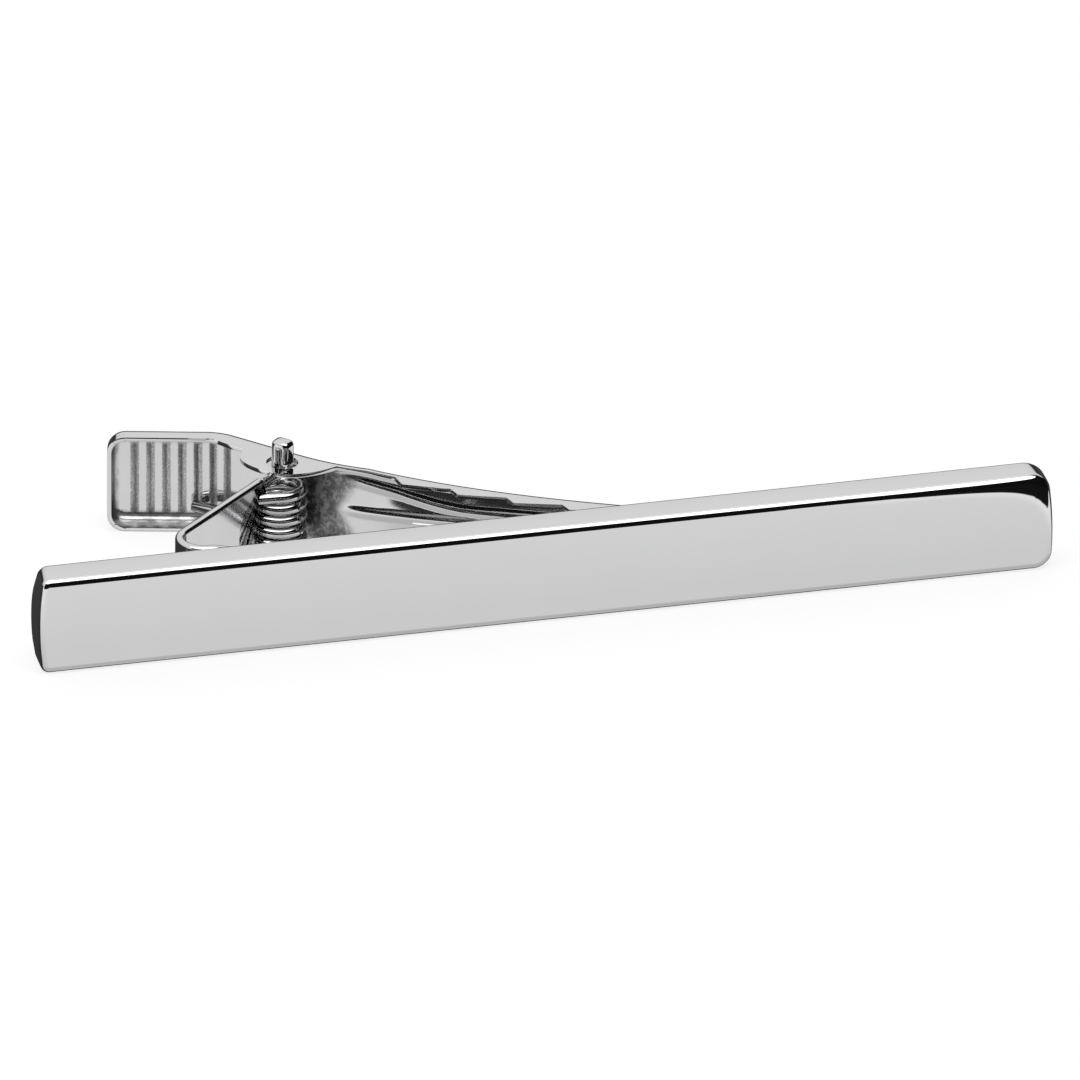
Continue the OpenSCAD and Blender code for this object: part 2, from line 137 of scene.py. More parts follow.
class LeverSizes(bpy.types.PropertyGroup):
    sheet: length("Sheet", "Thickness of the lever's sheet", 0.25)
    width: length("Width", "Width of the lever over its pad and ears", 6)
    arm_w: length("Arm end width", "Width of the lever's arm at its end", 4.2)
    taper_start: length("Taper start", "Distance from the pivot line to the start of the taper", 4.6)
    bend_r: length("Bend radius", "Outside radius of the bends along the lever's edges", 0.7)
    pivot_depth: length("Pivot depth", "Distance from the pivot line to the outside of the neck", 1.85)
    hole_r: length("Hole radius", "Radius of the holes in the ears", 0.9)
    ear_reach: length("Ear reach", "How far the ears reach past the pivot line", 1.5)
    ear_blunt: length("Ear blunt side", "Length of the ears' side towards the pad", 2.65)
    ear_slope: length("Ear sloping side", "Length of the ears' side towards the arm", 2.8)
    neck_depth: length("Neck depth", "Depth of the neck's sides beside the ears", 1.65)
    waist_depth: length("Waist depth", "Depth of the sides between the ears and the first tooth", 0.85)
    pad_l: length("Pad length", "Length of the straight part of the thumb pad", 5.65)
    pad_bend: length("Pad bend", "Length of the bend between pad and neck", 1.9)
    neck_pad: length("Neck to pad", "Length of the neck on the pad's side of the pivot", 4.3)
    neck_arm: length("Neck to arm", "Length of the neck on the arm's side of the pivot", 0.2)
    arm_bend: length("Arm bend", "Length of the bend between neck and arm", 5.5)
    pad_angle: angle("Pad angle", "Angle of the pad to the bar", -15)
    neck_angle: angle("Neck angle", "Angle of the neck to the bar", -47)
    arm_angle: angle("Arm angle", "Angle of the arm to the bar", -24.8)
    rim_depth: length("Rim depth", "Depth of the rim round the pad", 1.4)
    pad_corner_r: length("Pad corner radius", "Radius of the pad's two outer corners", 1.05)
    rib_start: length("First groove", "Distance from the pad's end to its first groove", 1.57)
    rib_pitch: length("Groove pitch", "Distance from groove to groove", 0.91)
    rib_w: length("Groove width", "Width of a groove", 0.56)
    rib_h: length("Groove depth", "Depth of a groove", 0.17)
    rib_count: IntProperty(name="Grooves", description="Number of grooves in the pad", default=7)
    tooth_start: length("First tooth", "Distance from the start of the arm to the first tooth", 1)
    tooth_pitch: length("Tooth pitch", "Distance from tooth to tooth", 3.28)
    tooth_count: IntProperty(name="Teeth", description="Number of teeth on each side", default=5)
    tooth_depth: length("Tooth depth", "Depth of the sides at the first tooth", 1.56)
    tooth_rise: length("Tooth rise", "How far the notch before a tooth is cut back", 0.56)
    tooth_step: length("Tooth step", "Length of the steep side of a tooth", 0.55)
    jaw_end: length("Jaw end", "Length of the arm past its last tooth", 0.35)
    jaw_gap: length("Jaw gap", "Gap between the closed jaw and the bar", 0.03)
    bead_h: length("Bead height", "Height of the bead pressed into the arm", 0.12)
    ripple_h: length("Ripple height", "Height of the low ripples that pressing leaves along the arm", 0.12)
    edge_r: length("Edge radius", "Rounding of the lever's cut edges", 0.11)


class SpringSizes(bpy.types.PropertyGroup):
    wire: length("Wire", "Diameter of the wire", 0.68)
    coil: length("Coil", "Outside diameter of the coil", 3.65)
    height: length("Coil height", "Height of the coil between the centres of its end turns", 3.32)
    shift: length("Coil shift", "How far the coil sits from the pivot line, towards the fold", 0.6)
    turns: IntProperty(name="Turns", description="Whole turns of the coil", default=4)
    pad_leg: length("Pad leg", "Length of the leg that bears on the pad", 6.3)
    post_leg: length("Strip leg", "Length of the leg that bears on the window's round end", 2.7)
    post_tilt: angle("Strip leg tilt", "Angle between that leg and the strip", 47)
    gap: length("Leg gap", "Gap left between the leg's end and the pad", 0.03)


class Finishes(bpy.types.PropertyGroup):
    bar: colour("Bar", "Reflected colour of the polished bar", (0.60, 0.60, 0.605))
    strip: colour("Strip", "Reflected colour of the plated strip", (0.58, 0.58, 0.585))
    lever: colour("Lever", "Reflected colour of the plated lever", (0.60, 0.60, 0.605))
    # Painted shade: the grooves' colour is set a little darker than the lever's, for the shade in their
    # hollows
    groove: colour("Grooves", "Reflected colour in the pad's matt grooves", (0.58, 0.58, 0.585))
    # Painted shade: this dark neck colour stands in for the shade inside the lever's neck
    neck: colour("Neck", "Reflected colour of the lever's rough neck inside", (0.26, 0.26, 0.262))
    wire: colour("Wire", "Reflected colour of the spring wire", (0.56, 0.56, 0.565))


class StageLook(bpy.types.PropertyGroup):
    azimuth: angle("Azimuth", "Camera's angle round the clip, from the left when negative", -13.57)
    elevation: angle("Elevation", "Camera's angle above the horizon", 26)
    frame_w: length("Frame width", "Width of the picture at the clip", 62.04)
    softbox: FloatProperty(name="Softbox", description="Strength of the overhead softbox", default=3.0)
    floor_glow: FloatProperty(
        name="Floor glow", description="Share of the floor that stays white under the shadow", default=0.8)


class ClipSettings(bpy.types.PropertyGroup):
    bar: PointerProperty(type=BarSizes)
    strip: PointerProperty(type=StripSizes)
    lever: PointerProperty(type=LeverSizes)
    spring: PointerProperty(type=SpringSizes)
    finishes: PointerProperty(type=Finishes)
    stage: PointerProperty(type=StageLook)


# Curves and outlines


def clamp01(t):
    return max(0.0, min(1.0, t))


def ease(t):
    """0 up to t = 0 and 1 from t = 1, with a smooth step between them."""
    t = clamp01(t)
    return t * t * (3 - 2 * t)


def hump(t):
    """1 at t = 0, falling smoothly to 0 at t = 1."""
    return math.cos(t * math.pi / 2) ** 2


def blend(a, b, t):
    return a + (b - a) * t


def spread(start, stop, step):
    """Evenly spaced values from start to stop, no further apart than step."""
    count = max(1, math.ceil((stop - start) / step))
    return [blend(start, stop, i / count) for i in range(count + 1)]


class Path:
    """A line in the XY plane made of stretches along which its heading turns evenly."""

    def __init__(self, stretches, start=(0, 0)):
        self.stretches = stretches
        self.start = Vector(start)

    def at(self, s):
        """The point at station s and the line's heading there."""
        point = self.start.copy()
        for i, (size, a0, a1) in enumerate(self.stretches):
            last = i == len(self.stretches) - 1
            run = s if last else min(s, size)
            turned = blend(a0, a1, run / size)
            if abs(a1 - a0) < NUDGE:
                point += run * Vector((math.cos(a0), math.sin(a0)))
            else:
                r = size / (a1 - a0)
                point += r * Vector((math.sin(turned) - math.sin(a0), math.cos(a0) - math.cos(turned)))
            s -= run
            if last or s <= 0:
                return point, turned

    def place(self, s, offset):
        """The point at station s, moved sideways to the left of the line."""
        point, turned = self.at(s)
        return point + offset * Vector((-math.sin(turned), math.cos(turned)))


def strip_layout(bar, strip):
    """Where the folded strip runs: its middle line, the fold, the diagonal leg and the pivot."""
    outer_r = strip.fold_r + strip.sheet
    mid_r = strip.fold_r + strip.sheet / 2
    centre = Vector((-bar.length / 2 + strip.fold_inset + outer_r, bar.depth + outer_r))
    along = Vector((math.cos(strip.fold_angle), math.sin(strip.fold_angle)))
    out = Vector((-along.y, along.x))
    fold_l = mid_r * (math.pi - strip.fold_angle)
    line = Path(
        [
            (strip.base_leg, math.pi, math.pi),
            (fold_l, math.pi, strip.fold_angle),
            (strip.post, strip.fold_angle, strip.fold_angle),
        ],
        (centre.x + strip.base_leg, bar.depth + strip.sheet / 2),
    )
    post_start = centre + mid_r * out
    return SimpleNamespace(
        line=line, along=along, out=out, fold_from=strip.base_leg, post_from=strip.base_leg + fold_l,
        post_start=post_start, pivot=post_start + strip.post * along)


class LeverForm:
    """The lever's path, width and depth at each station, measured from the pad's end."""

    # How full the curves of the taper and of the ears' blunt side are
    curve_power = 2.5

    def __init__(self, bar, lever, pivot):
        self.bar = bar
        self.lever = lever
        self.neck_s = lever.pad_l + lever.pad_bend
        self.pivot_s = self.neck_s + lever.neck_pad
        neck_end = self.pivot_s + lever.neck_arm
        self.arm_s = neck_end + lever.arm_bend
        self.last_tooth = self.tooth_s(lever.tooth_count - 1)
        self.end_s = self.last_tooth + lever.jaw_end
        self.taper_s = self.pivot_s + lever.taper_start
        self.path = Path([
            (lever.pad_l, lever.pad_angle, lever.pad_angle),
            (lever.pad_bend, lever.pad_angle, lever.neck_angle),
            (neck_end - self.neck_s, lever.neck_angle, lever.neck_angle),
            (lever.arm_bend, lever.neck_angle, lever.arm_angle),
            (self.end_s - self.arm_s, lever.arm_angle, lever.arm_angle),
        ])
        point, turned = self.path.at(self.pivot_s)
        self.path.start = pivot + lever.pivot_depth * Vector((-math.sin(turned), math.cos(turned))) - point

    def tooth_s(self, k):
        return self.arm_s + self.lever.tooth_start + k * self.lever.tooth_pitch

    def half_w(self, s):
        """Half the lever's width at station s."""
        left = clamp01((self.end_s - s) / (self.end_s - self.taper_s))
        return blend(self.lever.arm_w, self.lever.width, left ** self.curve_power) / 2

    def closing_depth(self, s):
        """Depth at which the sides' edges lie a gap short of the bar's back."""
        gap = self.path.at(s)[0].y - self.bar.depth - self.lever.jaw_gap
        return gap / math.cos(self.lever.arm_angle)

    def tip_depth(self, k):
        """Depth of the sides at the tip of tooth k."""
        lever = self.lever
        return blend(lever.tooth_depth, self.closing_depth(self.last_tooth), k / (lever.tooth_count - 1))

    def jaw_depth(self, s):
        """Depth of the toothed sides at station s."""
        lever = self.lever
        past_first = (s - self.tooth_s(0)) / lever.tooth_pitch
        k = max(0, min(lever.tooth_count - 1, math.ceil(past_first - NUDGE)))
        tip = self.tooth_s(k)
        root = lever.waist_depth if k == 0 else self.tip_depth(k) - lever.tooth_rise
        if s > self.last_tooth:
            return self.closing_depth(s)
        if s > tip - lever.tooth_step:
            return blend(root, self.tip_depth(k), clamp01((s - tip + lever.tooth_step) / lever.tooth_step))
        if k == 0:
            return lever.waist_depth
        ramp = lever.tooth_pitch - lever.tooth_step
        return blend(self.tip_depth(k - 1), root, (s - self.tooth_s(k - 1)) / ramp)

    def depth(self, s):
        """Depth of the sides at station s, the ears included."""
        lever = self.lever
        if s < self.pivot_s:
            t = min(1, (self.pivot_s - s) / lever.ear_blunt)
            share = (1 - t ** self.curve_power) ** (1 / self.curve_power)
            deepened = ease((s - lever.pad_l) / (lever.pad_bend + 1))
            side = blend(lever.rim_depth, lever.neck_depth, deepened)
        else:
            share = 1 - clamp01((s - self.pivot_s) / lever.ear_slope) ** 2
            side = lever.waist_depth if s < self.arm_s else self.jaw_depth(s)
        return blend(side, lever.pivot_depth + lever.ear_reach, share)

    def from_groove(self, s):
        """Distance from station s to the middle of the nearest groove, in half groove widths."""
        lever = self.lever
        k = max(0, min(lever.rib_count - 1, round((s - lever.rib_start) / lever.rib_pitch)))
        return abs(s - lever.rib_start - k * lever.rib_pitch) / (lever.rib_w / 2)

    def groove(self, s):
        """How deep in a groove of the pad station s lies, from 0 to 1."""
        t = self.from_groove(s)
        return 0.0 if t >= 1 else hump(t)

    def matt(self, s):
        """1 inside a groove and 0 outside it, with a short step at its sides."""
        return 1 - ease((self.from_groove(s) - 0.95) / 0.25)

    def bead(self, s, m):
        """Share of the bead's height at station s and share m of the half width, with a rounded nose."""
        nose, nose_l, nose_w, fade_l = 1.2, 3.2, 0.45, 2
        grown = ease((s - self.arm_s + nose) / nose_l)
        across = clamp01(m / (nose_w + (1 - nose_w) * grown))
        return hump(across) * grown * ease((self.end_s - s) / fade_l)

    def ripple(self, s, z):
        """Share of the ripples' height: a pair dives from the edges and a low one runs along the middle."""
        inner_z, outer_z, half_w, mid_half_w, mid_share = 0.7, 2.0, 0.42, 0.4, 0.8
        dive = inner_z + (outer_z - inner_z) * (1 - ease((s - self.arm_s + 3) / 8))
        low = hump(min(1, abs(abs(z) - dive) / half_w))
        mid = hump(min(1, abs(z) / mid_half_w))
        return (low + mid_share * mid) * ease((s - self.arm_s + 3.2) / 2) * ease((self.end_s - s) / 4)

    def stations(self):
        """Where the flat blank is cut across, close together where the form changes fast."""
        lever = self.lever
        groove_step, close_step, bend_step, ramp_step, least = 0.07, 0.14, 0.25, 0.3, 0.02
        ear_end = self.pivot_s + lever.ear_slope
        cuts = spread(lever.bend_r, self.neck_s, groove_step) + spread(self.neck_s, ear_end, close_step)
        cuts += spread(ear_end, self.arm_s, bend_step)
        start = self.arm_s
        for k in range(lever.tooth_count):
            tip = self.tooth_s(k)
            root = tip - lever.tooth_step
            cuts += spread(start, root, ramp_step) + spread(root, tip, close_step)
            start = tip
        cuts += spread(self.last_tooth, self.end_s, close_step)
        kept = []
        for s in sorted(cuts):
            if not kept or s - kept[-1] > least:
                kept.append(s)
        return kept


# Mesh helpers


def cut(bm, axis, at, faces=None):
    """Cuts all faces, or only those given, square to an axis."""
    no = Vector([float(i == axis) for i in (X, Y, Z)])
    geom = bm.verts[:] + bm.edges[:] + bm.faces[:]
    if faces is not None:
        geom = list({part for f in faces for part in (*f.verts, *f.edges)}) + faces
    bmesh.ops.bisect_plane(bm, geom=geom, dist=NUDGE, plane_co=no * at, plane_no=no)


def round_corners(bm, verts, radius, segments):
    """Rounds corners of a flat face."""
    bmesh.ops.bevel(
        bm, geom=verts, offset=radius, offset_type="OFFSET", segments=segments, profile=0.5,
        affect="VERTICES", material=-1, clamp_overlap=True)


def round_edges(bm, edges, radius, segments):
    """Rounds edges of a solid."""
    bmesh.ops.bevel(
        bm, geom=edges, offset=radius, offset_type="OFFSET", segments=segments, profile=0.5,
        affect="EDGES", material=-1, clamp_overlap=False, loop_slide=True)


def sharp_edges(bm):
    """The edges whose faces meet at more than 60 degrees."""
    limit = math.radians(60)
    return [e for e in bm.edges if len(e.link_faces) == 2 and e.calc_face_angle(0) > limit]


def verts_in(geom):
    return [g for g in geom if isinstance(g, bmesh.types.BMVert)]


def edges_in(geom):
    return [g for g in geom if isinstance(g, bmesh.types.BMEdge)]


def flat_face(bm, corners):
    return bm.faces.new([bm.verts.new((x, y, 0)) for x, y in corners])


def thicken(bm, amount):
    """Turns a flat blank into a plate whose middle stays at height 0."""
    bmesh.ops.translate(bm, verts=bm.verts[:], vec=(0, 0, -amount / 2))
    grown = bmesh.ops.extrude_face_region(bm, geom=bm.faces[:])["geom"]
    bmesh.ops.translate(bm, verts=verts_in(grown), vec=(0, 0, amount))
    bmesh.ops.recalc_face_normals(bm, faces=bm.faces[:])


def finish_piece(bm, name, node, material):
    """Writes the bmesh, modelled in millimetres, as a smooth piece that stands for a CAD node."""
    bmesh.ops.scale(bm, vec=(MM, MM, MM), verts=bm.verts[:])
    for face in bm.faces:
        face.smooth = True
    mesh = bpy.data.meshes.new(name)
    bm.to_mesh(mesh)
    bm.free()
    piece = bpy.data.objects.new(name, mesh)
    bpy.context.scene.collection.objects.link(piece)
    mesh.materials.append(material)
    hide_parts(node)
    return piece


def even_shading(piece):
    """Keeps flat areas flat in a smooth shaded piece."""
    normals = piece.modifiers.new("even shading", "WEIGHTED_NORMAL")
    normals.keep_sharp = True
    normals.mode = "FACE_AREA_WITH_ANGLE"
    normals.weight = 60


# Node helpers


class Value:
    """A node socket that adds Math nodes when it is used in an expression."""

    def __init__(self, shade, socket):
        self.shade = shade
        self.socket = socket

    def math(self, operation, *values):
        node = self.shade.node("ShaderNodeMath", {"operation": operation}, dict(enumerate(values)))
        return self.shade.value(node)

    def __add__(self, other):
        return self.math("ADD", self, other)

    def __sub__(self, other):
        return self.math("SUBTRACT", self, other)

    def __rsub__(self, other):
        return self.math("SUBTRACT", other, self)

    def __mul__(self, other):
        return self.math("MULTIPLY", self, other)

    __radd__ = __add__
    __rmul__ = __mul__

    def between(self, low, high):
        """0 below low and 1 above high, with a smooth step between them."""
        node = self.shade.node(
            "ShaderNodeMapRange", {"interpolation_type": "SMOOTHSTEP"},
            {"Value": self, "From Min": low, "From Max": high})
        return self.shade.value(node)


class Shade:
    """The node tree of a material or of the world."""

    def __init__(self, owner):
        owner.use_nodes = True
        self.tree = owner.node_tree
        self.tree.nodes.clear()

    def node(self, kind, settings=None, inputs=None):
        """Adds a node, then sets its settings, then the values or links of its sockets."""
        node = self.tree.nodes.new(kind)
        for name, setting in (settings or {}).items():
            setattr(node, name, setting)
        for name, given in (inputs or {}).items():
            if isinstance(given, Value):
                self.tree.links.new(given.socket, node.inputs[name])
            else:
                node.inputs[name].default_value = given
        return node

    def value(self, node, output=0):
        """One of a node's outputs, by its number or name."""
        return Value(self, node.outputs[output])

    def mix(self, share, a, b):
        """A colour between a and b."""
        node = self.node("ShaderNodeMix", {"data_type": "RGBA"})
        for index, given in ((0, share), (6, a), (7, b)):
            if isinstance(given, Value):
                self.tree.links.new(given.socket, node.inputs[index])
            else:
                node.inputs[index].default_value = (*given, 1) if index else given
        return self.value(node, 2)

    def noise(self, where, scale, detail=2, roughness=0.5):
        node = self.node(
            "ShaderNodeTexNoise", None,
            {"Vector": where, "Scale": scale, "Detail": detail, "Roughness": roughness})
        return self.value(node)

    def stretched(self, where, factors):
        """The place with each of its coordinates scaled, which draws a pattern out."""
        node = self.node("ShaderNodeVectorMath", {"operation": "MULTIPLY"}, {0: where, 1: factors})
        return self.value(node)

    def bump(self, height, strength, distance):
        node = self.node(
            "ShaderNodeBump", None, {"Height": height, "Strength": strength, "Distance": distance})
        return self.value(node)

    def attribute(self, name):
        return self.value(self.node("ShaderNodeAttribute", {"attribute_name": name}), "Fac")

    def object_place(self):
        return self.value(self.node("ShaderNodeTexCoord"), "Object")


def start_metal(name):
    """A new material, its nodes, and the place on the piece that its patterns follow."""
    material = bpy.data.materials.new(name)
    shade = Shade(material)
    return material, shade, shade.object_place()


def close_metal(shade, base, roughness, normal):
    """Ends a material in a bare metal surface."""
    surface = shade.node(
        "ShaderNodeBsdfPrincipled", None,
        {"Base Color": base, "Roughness": roughness, "Metallic": 1.0, "Normal": normal})
    shade.node("ShaderNodeOutputMaterial", None, {"Surface": shade.value(surface)})


def dimmed(tone, factor):
    return tuple(c * factor for c in tone)


def bar_polish(tone):
    """Mirror polish with the faint clouding and hairlines that polishing leaves."""
    material, shade, where = start_metal("bar mirror polish")
    clouds = shade.noise(where, 160, 3)
    hairs = shade.noise(shade.stretched(where, (60, 1800, 2600)), 1, 4, 0.6)
    base = shade.mix(clouds, dimmed(tone, 0.985), dimmed(tone, 1.015))
    roughness = 0.022 + clouds * 0.02 + hairs * 0.012
    close_metal(shade, base, roughness, shade.bump(hairs, 0.02, 0.000002))
    return material


def strip_nickel(tone):
    """Bright plating over rolled sheet, a little softer than the bar."""
    material, shade, where = start_metal("strip bright nickel")
    clouds = shade.noise(where, 420, 3)
    grain = shade.noise(where, 5200, 3, 0.6)
    base = shade.mix(clouds, dimmed(tone, 0.93), dimmed(tone, 1.05))
    roughness = 0.05 + clouds * 0.05 + grain * 0.03
    close_metal(shade, base, roughness, shade.bump(clouds * 0.7 + grain * 0.3, 0.15, 0.00002))
    return material


def lever_polish(tone):
    """Bright plating on the lever's outside, with the faint clouding of a tumbled stamping."""
    material, shade, where = start_metal("lever bright plating")
    clouds = shade.noise(where, 380, 3)
    base = shade.mix(clouds, dimmed(tone, 0.95), dimmed(tone, 1.04))
    close_metal(shade, base, 0.04 + clouds * 0.035, shade.bump(clouds, 0.1, 0.00002))
    return material


def lever_inside(tone, groove_shade_tone, neck_shade_tone):
    """The lever's inside: matt grains in the pad's grooves, set a little darker as painted shade, a rough,
    streaky neck darkened as painted shade with scuffs, and blotchy painted shade on the pad's inner rim.
    """
    material, shade, where = start_metal("lever textured inside")
    matt = shade.attribute("groove").between(0.2, 0.8)
    neck = shade.attribute("neck")
    flange = shade.attribute("flange")
    clouds = shade.noise(where, 380, 3)
    grains = shade.noise(where, 13000, 2, 0.7)
    blotches = shade.noise(where, 1300, 4, 0.6)
    streaks = shade.noise(shade.stretched(where, (1500, 500, 700)), 1, 5, 0.65)
    scuffs = (streaks * 0.55 + shade.noise(where, 4200, 3, 0.6) * 0.45).between(0.44, 0.58)
    # Painted shade: the neck between the ears is given a dark tone for the shade it lies in, mottled by
    # scuffs; its roughness is real
    shade_and_wear = neck * (0.8 + scuffs * 0.2)
    # Painted shade: the pad's inner rim and bend are darkened in blotches to half the lever's tone
    blotchy_rim_shade = flange * blotches.between(0.35, 0.6)
    plain = shade.mix(clouds, dimmed(tone, 0.95), dimmed(tone, 1.04))
    # The grooves' speckle is real matt grain, but their colour is set a little darker than the lands as
    # painted shade in the hollows
    shaded_speckle = shade.mix(grains.between(0.38, 0.66), dimmed(groove_shade_tone, 0.6), dimmed(groove_shade_tone, 1.3))
    shaded_scuffs = shade.mix(scuffs, dimmed(neck_shade_tone, 0.3), dimmed(neck_shade_tone, 1.9))
    web = shade.mix(shade_and_wear, shade.mix(matt, plain, shaded_speckle), shaded_scuffs)
    base = shade.mix(blotchy_rim_shade * 0.8, web, dimmed(tone, 0.5))
    roughness = 0.075 + clouds * 0.05 + matt * 0.34 + shade_and_wear * 0.28 + flange * 0.2
    height = grains * matt * 0.35 + streaks * neck * 0.9 + blotches * flange * 0.5 + clouds * 0.12
    close_metal(shade, base, roughness, shade.bump(height, 0.4, 0.00006))
    return material


def spring_bright(tone):
    """Bright plated wire with the faint draw marks of the wire."""
    material, shade, where = start_metal("spring bright wire")
    marks = shade.noise(shade.stretched(where, (500, 500, 6500)), 1, 3, 0.6)
    clouds = shade.noise(where, 900, 2)
    base = shade.mix(clouds, dimmed(tone, 0.92), dimmed(tone, 1.06))
    roughness = 0.05 + marks * 0.06 + clouds * 0.03
    close_metal(shade, base, roughness, shade.bump(marks, 0.12, 0.00001))
    return material


# Pieces


class CLIP_OT_bar(bpy.types.Operator):
    """Build the polished bar"""

    bl_idname = "tie_clip.bar"
    bl_label = "Bar"

    # Distance from the middle within which the bar's outline is plain
    plain_x = 20
    # Distance from the middle at which the dubbing starts, and over which it fades in
    dub_from, dub_run = 16, 6
    # Least cosine between a face's normal and an axis for a face that is square to it
    square_on = 0.999

    def execute(self, context):
        settings = context.scene.tie_clip
        bar = in_mm(settings.bar)
        bm = bmesh.new()
        x, z = bar.length / 2, bar.width / 2
        flat_face(bm, [(-x, -z), (x, -z), (x, z), (-x, z)])
        for v in bm.verts[:]:
            right_r = bar.dub_r if v.co.y > 0 else bar.corner_r
            round_corners(bm, [v], bar.left_r if v.co.x < 0 else right_r, 16)
        # These cuts stay clear of the corners' arcs
        for share in spread(-0.53, 0.53, 0.12):
            cut(bm, Y, share * z)
        for at in (-self.plain_x, 0, self.plain_x):
            cut(bm, X, at)
        for v in bm.verts:
            near_end = ease((abs(v.co.x) - self.plain_x) / 8)
            v.co.x -= math.copysign(bar.bulge * (v.co.y / z) ** 2, v.co.x) * near_end
        thicken(bm, bar.depth)
        round_edges(bm, sharp_edges(bm), bar.edge_r, 8)
        bm.normal_update()
        # A narrow ring of faces keeps the fine cuts of the front out of its rounded edge
        border = bm.faces.layers.int.new("border")
        front = [f for f in bm.faces if f.normal.z > self.square_on]
        for f in bmesh.ops.inset_region(bm, faces=front, thickness=0.03)["faces"]:
            f[border] = 1
        for depth in spread(bar.edge_r + 0.1, bar.depth - bar.edge_r - 0.1, 0.2):
            cut(bm, Z, depth - bar.depth / 2)
        stand_up = Matrix(((1, 0, 0, 0), (0, 0, -1, bar.depth / 2), (0, 1, 0, 0), (0, 0, 0, 1)))
        bmesh.ops.transform(bm, matrix=stand_up, verts=bm.verts[:])
        self.dub_corner(bm, bar, border)
        for v in bm.verts:
            from_middle = abs(v.co.y / bar.depth * 2 - 1)
            v.co.y += bar.crown * (v.co.z / z) ** 2 * (1 - 2 * v.co.y / bar.depth)
            v.co.z -= math.copysign(bar.crown * 1.6 * from_middle ** 2, v.co.z) * ease(abs(v.co.z) / z)
            if v.co.x < 1 - x:
                tuck = bar.left_tuck * (1 if v.co.z > 0 else 0.4)
                v.co.x += tuck * (v.co.y / bar.depth) * abs(v.co.z / z) ** 3
        bmesh.ops.recalc_face_normals(bm, faces=bm.faces[:])
        piece = finish_piece(bm, "bar_polished", "bar", bar_polish(settings.finishes.bar))
        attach(piece, "clip_base")
        even_shading(piece)
        return {"FINISHED"}

    def dub_corner(self, bm, bar, border):
        """Rolls the front back towards the upper right corner, as polishing leaves it."""
        x_end, z_top = bar.length / 2, bar.width / 2
        clear_x, clear_z = x_end - bar.dub_r, z_top - bar.dub_r
        for at in spread(self.dub_from - 2, clear_x, 0.3):
            cut(bm, X, at)
        for at in spread(-0.6, clear_z, 0.12):
            cut(bm, Z, at)
        lines = [(X, at) for at in spread(clear_x, x_end - bar.edge_r, 0.1)[1:]]
        lines += [(Z, at) for at in spread(clear_z, z_top - bar.edge_r, 0.1)[1:]]
        for axis, at in lines:
            bm.normal_update()
            cut(bm, axis, at, [f for f in bm.faces if f.normal.y < -self.square_on and not f[border]])
        for v in bm.verts:
            if v.co.y > bar.depth - bar.edge_r or v.co.x < self.dub_from:
                continue
            inset = x_end - bar.bulge * (v.co.z / z_top) ** 2 - v.co.x
            below_top = z_top - v.co.z
            # The dubbed band is narrow along the top edge and widens towards the end
            band = 0.31 + 1.25 / (max(inset, 0) + 0.3)
            reach = 1.6 * band
            share = clamp01((reach - below_top) / reach)
            fade = ease((v.co.x - self.dub_from) / self.dub_run) * (1 - v.co.y / bar.depth)
            v.co.y += bar.dub * share ** 2 * band * fade


